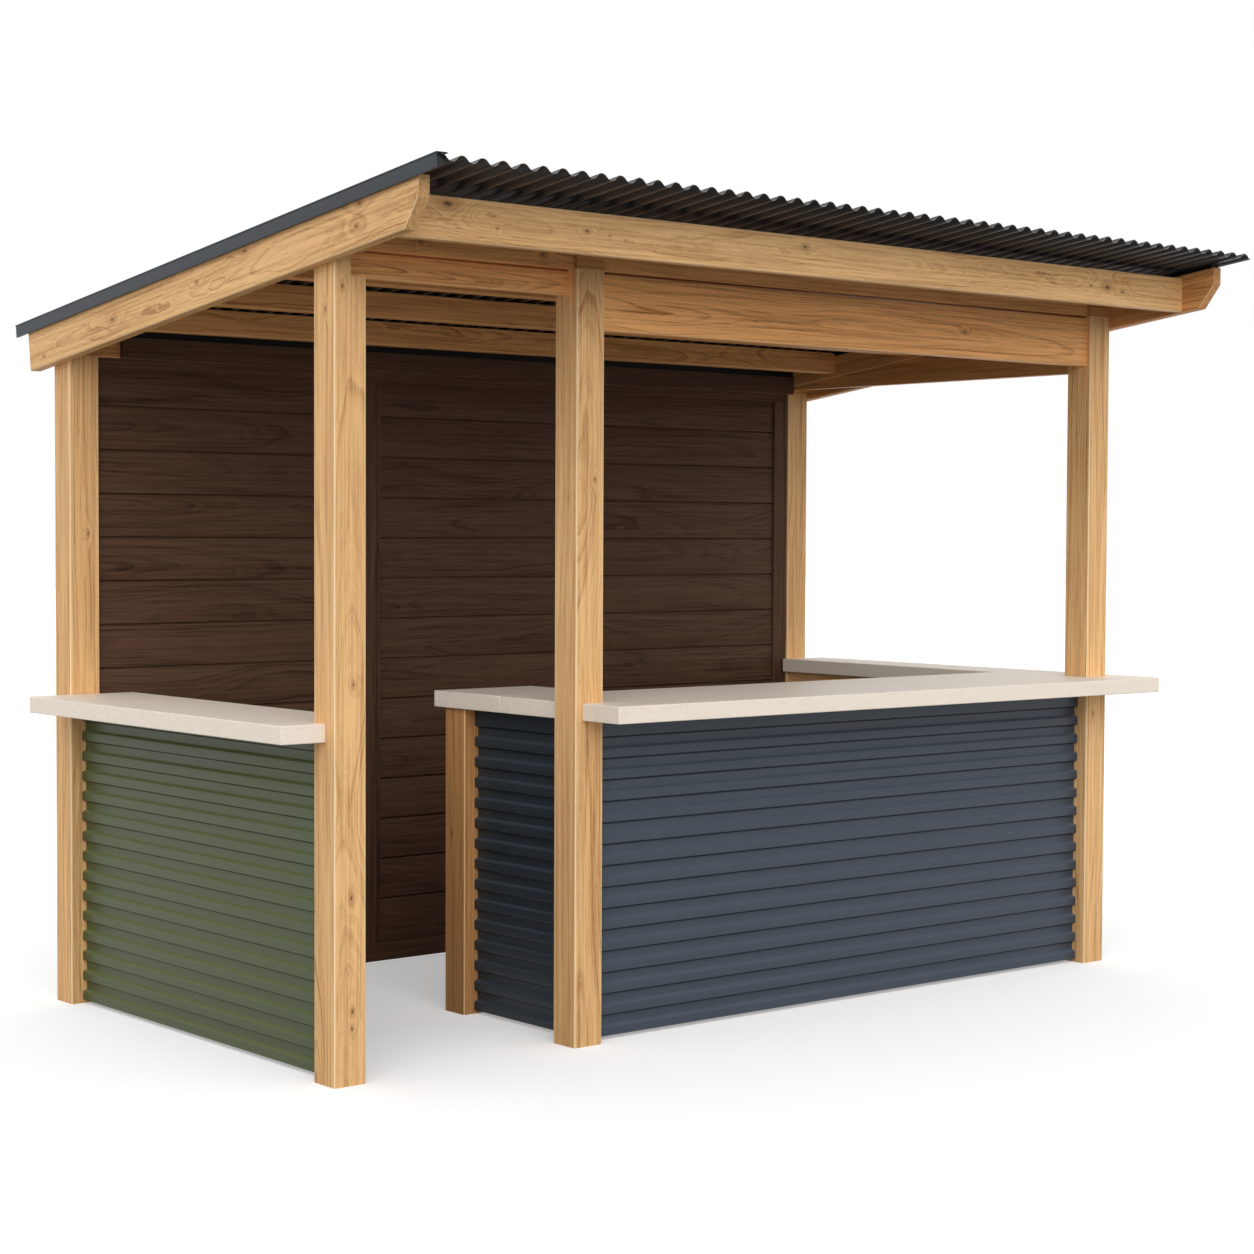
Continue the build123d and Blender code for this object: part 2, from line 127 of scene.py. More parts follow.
class Wire:
    """One output socket that can be added, multiplied and compared."""

    def __init__(self, wiring, socket):
        self.wiring = wiring
        self.socket = socket

    def __add__(self, other):
        return self.wiring.sum("ADD", self, other)

    def __radd__(self, other):
        return self.wiring.sum("ADD", other, self)

    def __sub__(self, other):
        return self.wiring.sum("SUBTRACT", self, other)

    def __rsub__(self, other):
        return self.wiring.sum("SUBTRACT", other, self)

    def __mul__(self, other):
        return self.wiring.sum("MULTIPLY", self, other)

    def __rmul__(self, other):
        return self.wiring.sum("MULTIPLY", other, self)

    def __truediv__(self, other):
        return self.wiring.sum("DIVIDE", self, other)

    def __pow__(self, other):
        return self.wiring.sum("POWER", self, other)

    def __abs__(self):
        return self.wiring.sum("ABSOLUTE", self)

    def dot(self, direction):
        """How far this place lies along a direction."""
        return self.wiring.node("ShaderNodeVectorMath", {"operation": "DOT_PRODUCT"},
                                {0: self, 1: direction})["Value"]

    def length(self):
        """The length of this direction."""
        return self.wiring.node("ShaderNodeVectorMath", {"operation": "LENGTH"}, {0: self})["Value"]

    def part(self):
        """What is left over after the last whole number."""
        return self.wiring.sum("FRACT", self)

    def whole(self):
        """The last whole number passed."""
        return self.wiring.sum("FLOOR", self)

    def most(self, other):
        """The larger of two numbers."""
        return self.wiring.sum("MAXIMUM", self, other)

    def step(self, low, high):
        """A smooth rise from 0 at low to 1 at high."""
        return self.wiring.node("ShaderNodeMapRange", {"interpolation_type": "SMOOTHSTEP"},
                                {"Value": self, "From Min": low, "From Max": high})["Result"]

    def clamped(self):
        """The same number, kept from 0 to 1."""
        return self.wiring.node("ShaderNodeClamp", {}, {"Value": self})["Result"]


class Outputs:
    """The outputs of a node, taken by name or by number."""

    def __init__(self, wiring, node):
        self.wiring = wiring
        self.node = node

    def __getitem__(self, name):
        return Wire(self.wiring, self.node.outputs[name])


class Wiring:
    """A node tree that is written as sums."""

    def __init__(self, tree):
        self.tree = tree

    def feed(self, socket, term):
        """Link a wire into a socket, or set the socket's own value."""
        if isinstance(term, Wire):
            self.tree.links.new(term.socket, socket)
        elif socket.type == "RGBA":
            socket.default_value = (*term, 1.0)
        elif socket.type == "VECTOR" and not is_wide(term):
            socket.default_value = (term, term, term)
        else:
            socket.default_value = term

    def node(self, kind, settings=None, sockets=None):
        """Add a node: its settings first, then what its sockets take."""
        node = self.tree.nodes.new(kind)
        for name, value in (settings or {}).items():
            setattr(node, name, value)
        for name, term in (sockets or {}).items():
            self.feed(node.inputs[name], term)
        return Outputs(self, node)

    def sum(self, operation, *terms):
        """Join terms with a Math node, or Vector Math where one is a colour or a direction."""
        kind = "ShaderNodeVectorMath" if any(is_wide(term) for term in terms) else "ShaderNodeMath"
        return self.node(kind, {"operation": operation}, dict(enumerate(terms)))[0]

    def vector(self, x, y, z):
        """A place or direction from three numbers."""
        return self.node("ShaderNodeCombineXYZ", {}, {"X": x, "Y": y, "Z": z})[0]

    def blend(self, under, over, amount):
        """The under colour, with as much of the over colour as amount says."""
        return self.node("ShaderNodeMix", {"data_type": "RGBA"}, {0: amount, 6: under, 7: over})[2]

    def noise(self, place, scale=1.0, detail=2.0, roughness=0.5, wide=False):
        """Soft random values about a half, or three at once where wide."""
        sockets = {"Vector": place, "Scale": scale, "Detail": detail, "Roughness": roughness}
        return self.node("ShaderNodeTexNoise", {}, sockets)["Color" if wide else "Fac"]

    def seen_directly(self):
        """1 for rays that the camera, a gloss or a glass sends, and 0 for light that falls."""
        ray = self.node("ShaderNodeLightPath")
        return ray["Is Camera Ray"].most(ray["Is Glossy Ray"]).most(ray["Is Transmission Ray"])


class Finish(Wiring):
    """A material whose colour, roughness and relief are written as sums."""

    def __init__(self, name):
        self.material = bpy.data.materials.new(name)
        self.material.use_nodes = True
        super().__init__(self.material.node_tree)
        self.shader = next(n for n in self.tree.nodes if n.type == "BSDF_PRINCIPLED")
        self.place = self.node("ShaderNodeTexCoord")["Object"]
        self.normal = self.node("ShaderNodeNewGeometry")["True Normal"]

    def relief(self, height, depth):
        """Let a height in units of depth bend the shading of the surface."""
        return self.node("ShaderNodeBump", {}, {"Height": height, "Distance": depth, "Strength": 1.0})[0]

    def wear(self, **values):
        """Feed the shader's own sockets and hand back the material."""
        for name, term in values.items():
            self.feed(self.shader.inputs[name.replace("_", " ")], term)
        return self.material


def seen(red, green, blue):
    """A colour as a screen shows it, 0 to 255, as the linear light that a shader wants."""
    def linear(level):
        level = level / 255
        return level / 12.92 if level <= 0.04045 else ((level + 0.055) / 1.055) ** 2.4
    return tuple(linear(level) for level in (red, green, blue))


print("a mid grey as linear light:", [round(level, 3) for level in seen(128, 128, 128)])

# %% [markdown]
# ## Floor and light
# The stall stands in an even studio. A plain sky gives most of the light, so it darkens
# by itself wherever the roof hides the sky, and a weak, very wide sun from the front
# left parts the two sides that face the camera. The floor must look white and still
# hold the shadow. More light would bleach the timber, so the floor is pale, and glows a
# little, only for camera and mirror rays. To falling light it is dark, because a white
# floor would light the roof from below.

# %% Studio
floor_size = 120.0
floor_pale = (0.80, 0.80, 0.80)
floor_grey = (0.26, 0.25, 0.24)
floor_glow = (0.32, 0.32, 0.32)
sun_strength = 1.35
sun_spread = math.radians(60)
sun_from = Vector((-0.60, -0.88, 0.54))
sky_level = 0.88

floor_mesh = bpy.data.meshes.new("floor")
half_floor = floor_size / 2
floor_mesh.from_pydata([(-half_floor, -half_floor, 0), (half_floor, -half_floor, 0),
                        (half_floor, half_floor, 0), (-half_floor, half_floor, 0)], [], [(0, 1, 2, 3)])
floor = bpy.data.objects.new("floor", floor_mesh)
bpy.context.scene.collection.objects.link(floor)
floor_finish = Finish("floor_white")
floor_seen = floor_finish.seen_directly()
floor_finish.wear(Base_Color=floor_finish.blend(floor_grey, floor_pale, floor_seen), Roughness=0.9,
                  Specular_IOR_Level=0.0, Emission_Strength=1.0, Emission_Color=floor_seen * floor_glow)
floor_mesh.materials.append(floor_finish.material)
floor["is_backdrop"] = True

sky = bpy.data.worlds.new("studio_sky")
bpy.context.scene.world = sky
sky.use_nodes = True
sky_wiring = Wiring(sky.node_tree)
background = next(n for n in sky.node_tree.nodes if n.type == "BACKGROUND")
background.inputs["Color"].default_value = (1, 1, 1, 1)
sky_wiring.feed(background.inputs["Strength"], sky_wiring.seen_directly() * (1 - sky_level) + sky_level)

lamp = bpy.data.lights.new("studio_sun", "SUN")
lamp.energy = sun_strength
lamp.angle = sun_spread
sun = bpy.data.objects.new("studio_sun", lamp)
sun.rotation_mode = "QUATERNION"
sun.rotation_quaternion = sun_from.to_track_quat("Z", "Y")
bpy.context.scene.collection.objects.link(sun)
bpy.context.scene.view_settings.view_transform = "Standard"
print("sun stands", round(math.degrees(math.asin(sun_from.normalized().z))), "degrees high")

# %% [markdown]
# ## Timber
# A board is cut out of a trunk, so its grain is one solid pattern that runs on round
# every corner. The finish rebuilds that. Rings surround a pith that wanders along the
# timber. Noise that is read along the ring number gives bands of many widths that all
# follow the rings, and each ring ends in a thin dark line of its own strength. A face
# that cuts the rings flat shows arches, and one that cuts them square shows stripes,
# with no extra work. Knots lift the rings into closed eyes.

# %% Timber finish
# A palette is early wood, late wood, knot and arris colour; the arris colour is a painted highlight, paler
# where edges catch light.
honey = (seen(240, 193, 134), seen(158, 101, 52), seen(66, 38, 22), seen(255, 228, 184))
# A darker, more saturated copy of the honey timber, as painted shade for pieces under the roof and under the
# counter.
painted_shade_honey = (seen(226, 166, 104), seen(132, 78, 36), seen(52, 28, 15), seen(242, 202, 150))
arris_highlight_reach = 0.009
grain_depth = 0.0005
drift_scale = (0.9, 2.0, 2.0)
ripple_across = 11.0
fibre_scale = (1.7, 105.0, 105.0)
dash_scale = (22.0, 240.0, 240.0)
broad_scale = (0.8, 7.0, 7.0)
broad_tint = (0.30, 0.38, 0.50)
knot_length = 2.0
knot_lift = 2.5
knot_lift_per_metre = 330


def timber(name, centre, grain, across, heart=(0.0, 0.05), lean=(0.0, 0.0), ring=0.0065, knots=(),
           wander=0.03, swirl=0.008, stretch=1.5, seed=0.0, contrast=1.0, painted_light_tint=1.0, palette=honey, spot=None,
           half=None, gloss=0.25):
    """Solid timber. heart is the pith's place off the centre line, and lean is how far it
    drifts for each metre. A knot is (along, sideways, radius, 0 or 1 for the face it is on).
    stretch is how many ripples of the grain there are to a metre along it, about swirl high.
    half is half the section, where the arrises are painted paler as a highlight.
    painted_light_tint brightens or darkens the whole piece as painted light or shade, and
    the palette may be the darker copy that is painted shade. spot gives another place to
    read the wood at, from the finish."""
    early, late, dark, edge = palette
    third = Vector(grain).cross(Vector(across))
    finish = Finish(name)
    place = (finish.place if spot is None else spot(finish)) - tuple(centre)
    along = place.dot(tuple(grain))
    side = place.dot(tuple(across))
    depth = place.dot(tuple(third))
    cut = finish.vector(along + seed, side, depth)
    drift = finish.noise(cut * drift_scale, 1.0, 1.0, wide=True) - (0.5, 0.5, 0.5)
    ripple = finish.noise(cut * (stretch, ripple_across, ripple_across), 1.0, 4.0, 0.55, wide=True)
    ripple = ripple - (0.5, 0.5, 0.5)
    heart_line = finish.vector(0.0, along * lean[0] + heart[0], along * lean[1] + heart[1])
    bent = finish.vector(0.0, side, depth) + drift * (0.0, 4 * wander, 4 * wander) - heart_line
    reach = bent.length() + ripple.dot((swirl, swirl, swirl))
    rings = reach / ring
    knot_mark = None
    knot_halo = None
    for knot_along, knot_side, radius, face in knots:
        across_knot = (depth if face else side) - knot_side
        along_knot = (along - knot_along) / knot_length
        away = finish.sum("SQRT", across_knot * across_knot + along_knot * along_knot)
        away = away * (ripple.dot((1.4, 0.0, 0.0)) + 1.0) / radius
        lift = knot_lift + radius * knot_lift_per_metre
        rings = rings + finish.sum("EXPONENT", away * away * -0.05) * lift
        mark = 1 - away.step(0.35, 1.0)
        halo = 1 - away.step(0.6, 3.6)
        knot_mark = mark if knot_mark is None else knot_mark.most(mark)
        knot_halo = halo if knot_halo is None else knot_halo.most(halo)
    cycle = rings.part()
    year = finish.noise(finish.vector(rings.whole() * 3.7 + seed, along * 1.3, 0.0), 1.0, 1.0)
    line = cycle ** 3 * (1 - cycle.step(0.88, 1.0)) * year.step(0.34, 0.74)
    growth = finish.noise(finish.vector(rings * 0.55 + seed, along * 0.6, 0.0), 1.0, 5.0, 0.8)
    fibre = finish.noise(cut * fibre_scale, 1.0, 4.0, 0.72)
    dashes = finish.noise(cut * dash_scale, 1.0, 1.0).step(0.66, 0.76)
    broad = finish.noise(cut * broad_scale, 1.0, 2.0) - 0.5
    shade = growth.step(0.40, 0.76) * 0.50 + line * 0.80 + (fibre - 0.5) * 1.9 + dashes * 0.30 + 0.05
    shade = (shade * contrast).clamped()
    # The tint scales the colour of the whole piece as painted light or shade.
    colour = finish.blend(early, late, shade) * (broad * broad_tint + (painted_light_tint, painted_light_tint, painted_light_tint))
    if knot_mark is not None:
        colour = finish.blend(colour, late, knot_halo * 0.5)
        colour = finish.blend(colour, dark, knot_mark * 0.75)
    facing = finish.normal
    # Painted highlight: chamfer faces and a strip along each corner are blended toward the paler arris
    # colour, as light caught on the edges.
    arris_highlight_faces = abs(facing.dot(tuple(across)) * facing.dot(tuple(third))).step(0.2, 0.4)
    if half is not None:
        inset = (half[0] - abs(side)).most(half[1] - abs(depth))
        colour = finish.blend(colour, edge, (1 - inset.step(0.002, arris_highlight_reach)) * 0.34)
    on_end = abs(facing.dot(tuple(grain))).step(0.6, 0.9)
    colour = finish.blend(colour, edge, arris_highlight_faces * 0.65)
    colour = colour * (1 - on_end * 0.20)
    height = line * 0.4 + fibre * 0.8 - dashes * 0.6
    return finish.wear(Base_Color=colour, Roughness=0.56 + (fibre - 0.5) * 0.25 + shade * 0.10,
                       Normal=finish.relief(height, grain_depth), Specular_IOR_Level=gloss)


print("arrises are paler over", round(arris_highlight_reach * 1000), "mm, grain is", grain_depth * 1000, "mm deep")

# %% [markdown]
# Each timber gets its own cut of wood. Its place comes from the fixed part's box, and
# the values below say how it was sawn: where the pith lay, how the board leans across
# it and where the knots are. Posts keep the pith near, boards lie beside it. A board
# whose face just touches a ring, with a strong swirl, shows islands and whorls.

# %% Timbers of the frame
roof_pitch = math.radians(7.05)
along_x = Vector((1, 0, 0))
along_y = Vector((0, 1, 0))
along_z = Vector((0, 0, 1))
up_slope = Vector((0, -math.cos(roof_pitch), math.sin(roof_pitch)))
roof_normal = Vector((0, math.sin(roof_pitch), math.cos(roof_pitch)))
post_half = (0.060, 0.060)


def middle(node):
    """Centre of a fixed part's box."""
    low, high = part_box(node)
    return (low + high) / 2


def dress(node, slot, *materials):
    """Give a fixed part its finish."""
    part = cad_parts[node]
    part.data.materials.clear()
    for material in materials:
        part.data.materials.append(material)


# The shaded palette and the tints below paint light and shade into single pieces: the post at the counter's
# end is darkened as painted shade, and the beams, plates and purlins under the roof take the shaded palette
# yet are brightened as painted light.
posts = {
    "post_front_left": dict(heart=(0.005, 0.085), lean=(0.006, 0.012), knots=[
        (-0.10, 0.012, 0.0045, 0), (-0.78, 0.004, 0.0045, 0), (-1.145, 0.008, 0.0045, 0),
        (-1.20, 0.006, 0.0035, 0), (1.16, -0.030, 0.0035, 0), (1.09, -0.008, 0.0040, 1)]),
    "post_front_middle": dict(heart=(-0.050, 0.120), knots=[(0.62, 0.02, 0.0040, 0)]),
    "post_front_right": dict(heart=(0.110, 0.090), knots=[(-0.3, -0.02, 0.0040, 0)]),
    "post_back_left": dict(heart=(0.085, -0.120), knots=[(0.55, 0.015, 0.0040, 0)]),
    "post_back_right": dict(heart=(-0.100, 0.090), knots=[(0.2, -0.02, 0.0045, 1)]),
    "post_counter_end": dict(heart=(0.090, -0.100), knots=[(0.1, 0.02, 0.0045, 1)], palette=painted_shade_honey,
                             painted_light_tint=0.80),
}
for number, (node, sawn) in enumerate(posts.items()):
    material = timber(f"timber_{node}", middle(node), along_z, along_x, seed=3.7 * number,
                      half=post_half, **sawn)
    dress(node, "frame_timber", material)

boards_along_x = {
    "fascia_beam": dict(heart=(0.01, 0.075), swirl=0.024, stretch=4.0, painted_light_tint=1.10, knots=[
        (-1.72, 0.045, 0.012, 0), (-1.53, -0.015, 0.0025, 0), (-1.17, 0.005, 0.0040, 0),
        (-0.20, 0.030, 0.005, 0), (1.43, 0.000, 0.009, 0), (1.52, -0.012, 0.004, 0), (1.33, 0.0, 0.003, 0)]),
    "header_beam_left": dict(heart=(0.004, 0.040), lean=(0.0, 0.035), contrast=1.15, painted_light_tint=1.24,
                             palette=painted_shade_honey),
    "header_beam_right": dict(heart=(-0.02, 0.085), lean=(0.0, 0.02), swirl=0.010, painted_light_tint=1.27,
                              palette=painted_shade_honey, knots=[(0.55, 0.0, 0.0035, 0)]),
    "head_plates": dict(heart=(0.03, 0.07), swirl=0.020, stretch=3.0, painted_light_tint=1.36, palette=painted_shade_honey, knots=[
        (-1.55, 0.0, 0.006, 0), (-1.05, -0.01, 0.005, 0)]),
    "post_head_blocks": dict(heart=(0.03, 0.06), palette=painted_shade_honey, painted_light_tint=1.05),
    "back_beam": dict(heart=(0.03, 0.07), palette=painted_shade_honey),
    "purlin_front": dict(heart=(0.04, 0.06), swirl=0.014, stretch=3.0, palette=painted_shade_honey, painted_light_tint=1.34),
    "purlin_middle": dict(heart=(-0.03, 0.06), swirl=0.014, stretch=3.0, palette=painted_shade_honey, painted_light_tint=1.21),
    "purlin_rear": dict(heart=(0.02, -0.07), swirl=0.016, stretch=3.0, palette=painted_shade_honey, painted_light_tint=1.21),
    "counter_rails_front": dict(heart=(0.05, 0.06)),
}
for number, (node, sawn) in enumerate(boards_along_x.items()):
    material = timber(f"timber_{node}", middle(node), along_x, along_z, seed=11.3 + 5.1 * number, **sawn)
    dress(node, "frame_timber", material)

boards_along_slope = {
    "end_rafter_left": dict(heart=(0.0, -0.068), swirl=0.022, stretch=4.0, knots=[
        (0.98, 0.055, 0.006, 0), (0.955, -0.010, 0.006, 0), (-0.02, 0.010, 0.0035, 0),
        (-0.62, -0.004, 0.006, 0), (-1.16, -0.040, 0.004, 0), (0.30, 0.050, 0.006, 0)]),
    "end_rafter_right": dict(heart=(0.02, 0.08), swirl=0.012, palette=painted_shade_honey, painted_light_tint=1.05),
    "inner_rafter_right": dict(heart=(0.02, 0.08), palette=painted_shade_honey),
}
for number, (node, sawn) in enumerate(boards_along_slope.items()):
    material = timber(f"timber_{node}", middle(node), up_slope, roof_normal, seed=61.0 + 4.3 * number, **sawn)
    dress(node, "frame_timber", material)

boards_along_y = {
    "side_rail_right": dict(heart=(0.02, 0.08), palette=painted_shade_honey),
    "counter_rails_left": dict(heart=(0.05, 0.06)),
    "counter_rails_return": dict(heart=(0.05, 0.06)),
    "counter_rails_right": dict(heart=(0.05, 0.06)),
}
for number, (node, sawn) in enumerate(boards_along_y.items()):
    material = timber(f"timber_{node}", middle(node), along_y, along_z, seed=81.0 + 4.3 * number, **sawn)
    dress(node, "frame_timber", material)
print("cuts of timber:", len(posts) + len(boards_along_x) + len(boards_along_slope) + len(boards_along_y))

# %% [markdown]
# ## Meshes from a section
# Sheets, trims and boards all have one section drawn out along a straight run, which is
# also how a mill or a folding press makes them. One helper rounds the corners of a
# section line, one gives it the sheet's thickness and draws it out, and one draws out a
# closed outline such as a board's.

# %% Section helpers
most_of_side = 0.48


def rounded(line, radius, steps=4):
    """The line with every inner corner turned into a short curve."""
    points = [Vector(point) for point in line]
    curved = [points[0]]
    for before, corner, after in zip(points, points[1:], points[2:]):
        back = before - corner
        onward = after - corner
        half_turn = back.angle(onward) / 2
        reach = min(radius / math.tan(half_turn), most_of_side * back.length, most_of_side * onward.length)
        start = corner + back.normalized() * reach
        end = corner + onward.normalized() * reach
        for step in range(steps + 1):
            share = step / steps
            curved.append(start * (1 - share) ** 2 + corner * 2 * share * (1 - share) + end * share ** 2)
    curved.append(points[-1])
    return curved


def skins(line, thickness):
    """The two lines half a thickness to either side of a section line."""
    left_skin = []
    right_skin = []
    for index, point in enumerate(line):
        before = line[max(index - 1, 0)]
        after = line[min(index + 1, len(line) - 1)]
        travel = (after - before).normalized()
        sideways = Vector((-travel.y, travel.x)) * thickness / 2
        left_skin.append(point + sideways)
        right_skin.append(point - sideways)
    return left_skin, right_skin


def new_piece(name, mesh, slot, replaced, *materials, smooth_below=35):
    """Link a mesh as a piece of the stall that stands for the fixed parts named. Edges
    that turn by less than smooth_below degrees are shaded as one curve."""
    builder = bmesh.new()
    builder.from_mesh(mesh)
    bmesh.ops.recalc_face_normals(builder, faces=builder.faces)
    builder.to_mesh(mesh)
    builder.free()
    mesh.polygons.foreach_set("use_smooth", [True] * len(mesh.polygons))
    mesh.set_sharp_from_angle(angle=math.radians(smooth_below))
    for material in materials:
        mesh.materials.append(material)
    piece = bpy.data.objects.new(name, mesh)
    bpy.context.scene.collection.objects.link(piece)
    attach(piece, "root")
    if replaced:
        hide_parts(*replaced)
    return piece


def thin_sheet(name, line, thickness, place):
    """A sheet from its section line. place turns a section point and a share of the run,
    0 to 1, into a place. Its cut edges take the second finish."""
    left_skin, right_skin = skins(line, thickness)
    count = len(line)
    corners = [place(point, end) for end in (0, 1) for skin in (left_skin, right_skin) for point in skin]
    faces = []
    cut = []
    for index in range(count - 1):
        for skin in (0, count):
            near = skin + index
            far = 2 * count + near
            faces.append((near, near + 1, far + 1, far))
            cut.append(0)
        for end in (0, 2 * count):
            faces.append((end + index, end + count + index, end + count + index + 1, end + index + 1))
            cut.append(1)
    for index in (0, count - 1):
        faces.append((index, 2 * count + index, 3 * count + index, count + index))
        cut.append(1)
    mesh = bpy.data.meshes.new(name)
    mesh.from_pydata(corners, [], faces)
    mesh.polygons.foreach_set("material_index", cut)
    return mesh


def bar(outline, place):
    """Corners and faces of a bar from its closed outline, drawn out by place."""
    count = len(outline)
    corners = [place(point, end) for end in (0, 1) for point in outline]
    faces = [tuple(range(count)), tuple(range(2 * count - 1, count - 1, -1))]
    faces += [(index, count + index, count + (index + 1) % count, (index + 1) % count)
              for index in range(count)]
    return corners, faces


def joined(name, bars):
    """One mesh from many bars."""
    corners = []
    faces = []
    for bar_corners, bar_faces in bars:
        start = len(corners)
        corners += bar_corners
        faces += [tuple(start + index for index in face) for face in bar_faces]
    mesh = bpy.data.meshes.new(name)
    mesh.from_pydata(corners, [], faces)
    return mesh


print("a right angle rounded at 3 mm:", len(rounded([(0, 0), (1, 0), (1, 1)], 0.003)), "points")

# %% [markdown]
# ## Coated steel
# The metal is steel with a baked coat. Such a coat is even, but it isn't dead flat: it
# has a very fine skin like peel and a slow change of gloss where the sheet has
# buckled slightly. Faces that look up are painted paler and faces that look down darker,
# as painted light and shade. Cut edges show bare zinc, as the thin pale line along the roof does.

# %% Coated steel finish
peel_scale = 900.0
buckle_scale = 3.2
cloud_scale = 38.0
coat_depth = 0.0005
coat_gloss = 0.28
painted_highlight_coat = seen(80, 92, 110)


def coated_steel(name, colour, gloss, painted_highlight=None, painted_light_by_facing=0.0):
    """Baked coat on sheet steel, with fine peel, slow buckling and faint cloudiness.
    painted_highlight gives, from the finish, how much the coat is painted pale at a place
    as a highlight, and painted_light_by_facing how much paler the faces that look up are
    painted, and how much darker the ones that look down, as painted light and shade."""
    finish = Finish(name)
    peel = finish.noise(finish.place, peel_scale, 2.0)
    slow = finish.noise(finish.place * (1.0, 1.0, 2.2), buckle_scale, 2.0)
    cloud = finish.noise(finish.place, cloud_scale, 4.0, 0.65)
    facing_up = finish.normal.dot((0, 0, 1))
    # Painted light and shade: faces that look up are painted paler and faces that look down darker.
    paint = ((slow - 0.5) * 0.16 + (cloud - 0.5) * 0.16 + facing_up * painted_light_by_facing + 1.0) * Vector(colour)
    if painted_highlight is not None:
        # Painted highlight: the coat is blended toward a pale blue-grey along the given lines.
        paint = finish.blend(paint, painted_highlight_coat, painted_highlight(finish) * (0.55 + cloud * 0.6))
    height = slow * 1.2 + peel * 0.02
    return finish.wear(Base_Color=paint, Roughness=gloss + (cloud - 0.5) * 0.14 + (slow - 0.5) * 0.08,
                       Normal=finish.relief(height, coat_depth), Specular_IOR_Level=coat_gloss)


def bare_edge(name, colour):
    """Zinc-grey cut edge of a sheet, dulled in places."""
    finish = Finish(name)
    dull = finish.noise(finish.place, 140.0, 3.0, 0.6)
    return finish.wear(Base_Color=finish.blend(colour, seen(40, 42, 44), dull.step(0.45, 0.75)),
                       Roughness=0.42 + dull * 0.2, Metallic=dull.step(0.8, 0.3) * 0.6)


wave_pitch = 0.076
first_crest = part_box("roof_sheet_1")[0].x


def trough_highlight(finish):
    """1 along the bottom of each trough, where the coat is painted pale as a highlight for the light line
    that the trough catches.
    """
    wave = ((finish.place.dot((1, 0, 0)) - first_crest) / wave_pitch).part()
    return 1 - abs(wave - 0.5).step(0.010, 0.034)


anthracite_coat = coated_steel("anthracite_coat", seen(38, 40, 42), 0.38)
roof_coat = coated_steel("roof_coat", seen(28, 32, 38), 0.34, painted_highlight=trough_highlight)
grey_coat = coated_steel("grey_coat", seen(58, 63, 69), 0.42)
green_coat = coated_steel("green_coat", seen(76, 85, 54), 0.38, painted_light_by_facing=0.75)
blue_coat = coated_steel("blue_coat", seen(62, 71, 82), 0.36, painted_light_by_facing=0.75)
# The return panel's coat is a darker copy of the blue coat, as painted shade.
painted_shade_blue_coat = coated_steel("painted_shade_blue_coat", seen(48, 57, 65), 0.38, painted_light_by_facing=0.75)
zinc_edge = bare_edge("zinc_edge", seen(170, 170, 168))
print("coats:", [coat.name for coat in (anthracite_coat, roof_coat, grey_coat, green_coat, blue_coat)])

# %% [markdown]
# ## Corrugated roof
# The roof is five rolled sheets. Each is a wave of 76 mm, drawn out up the slope, and
# laps one wave over its neighbour, so its left edge rides a sheet's thickness higher.
# The rolls make round arcs, and the sheet is thin: its wavy front edge is what the eye
# reads, so the arcs have many points and the cut end gets the zinc finish.

# %% Roof sheets
sheet_count = 5
half_waves_lapped = 2
points_per_arc = 8
steel = 0.0010
lap_lift = 1.3 * steel
lap_fade = 3 * wave_pitch
batten_height = 0.014
crest_height = 0.035
sheet_depth = crest_height - batten_height - steel
half_wave = wave_pitch / 2
wave_swing = 2 * math.atan2(sheet_depth, half_wave)
wave_radius = half_wave / 2 / math.sin(wave_swing)

sheets_low, sheets_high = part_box("roof_sheet_1")
sheets_back = sheets_high.y - crest_height * math.sin(roof_pitch)
sheets_length = (sheets_back + batten_height * math.sin(roof_pitch) - sheets_low.y) / math.cos(roof_pitch)
roof_back_height = corner_high.z - (sheets_back - corner_low.y) * math.tan(roof_pitch)
roof_corner = Vector((0, sheets_back, roof_back_height))


def on_roof(x, lift, run):
    """A place over the rafters: x to the right, lifted square to the slope, run up from the back."""
    return roof_corner + along_x * x + roof_normal * lift + up_slope * run


def wave_line(start, half_waves, lift):
    """Section of a corrugated sheet from a crest, with its left edge lifted over its neighbour."""
    line = []
    for number in range(half_waves + 1):
        crest = 1 if number % 2 == 0 else -1
        centre = batten_height + steel / 2 + sheet_depth / 2 + crest * (sheet_depth / 2 - wave_radius)
        first = 0.0 if number == 0 else -1.0
        last = 0.0 if number == half_waves else 1.0
        for step in range(points_per_arc + 1):
            swing = wave_swing * (first + (last - first) * step / points_per_arc)
            x = number * half_wave + wave_radius * math.sin(swing)
            rise = lift * max(0.0, 1 - x / lap_fade)
            if step > 0 or number == 0:
                line.append(Vector((start + x, centre + crest * wave_radius * math.cos(swing) + rise)))
    return line


for number in range(1, sheet_count + 1):
    low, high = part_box(f"roof_sheet_{number}")
    half_waves = round((high.x - low.x) / half_wave) + (half_waves_lapped if number < sheet_count else 0)
    lift = 0.0 if number == 1 else lap_lift
    line = wave_line(low.x, half_waves, lift)
    mesh = thin_sheet(f"roofing_{number}", line, steel,
                      lambda point, end: on_roof(point.x, point.y, end * sheets_length))
    new_piece(f"roofing_{number}", mesh, "roof_metal", [f"roof_sheet_{number}"], roof_coat, zinc_edge,
              smooth_below=50)
print("sheets:", sheet_count, "length:", round(sheets_length, 3))

# %% [markdown]
# Screws with a dark washer hold the sheets on the crests, in a row over each timber
# below. They are small but many, so they are one mesh. Each is a low six-sided washer
# with a smaller head of six sides on it.

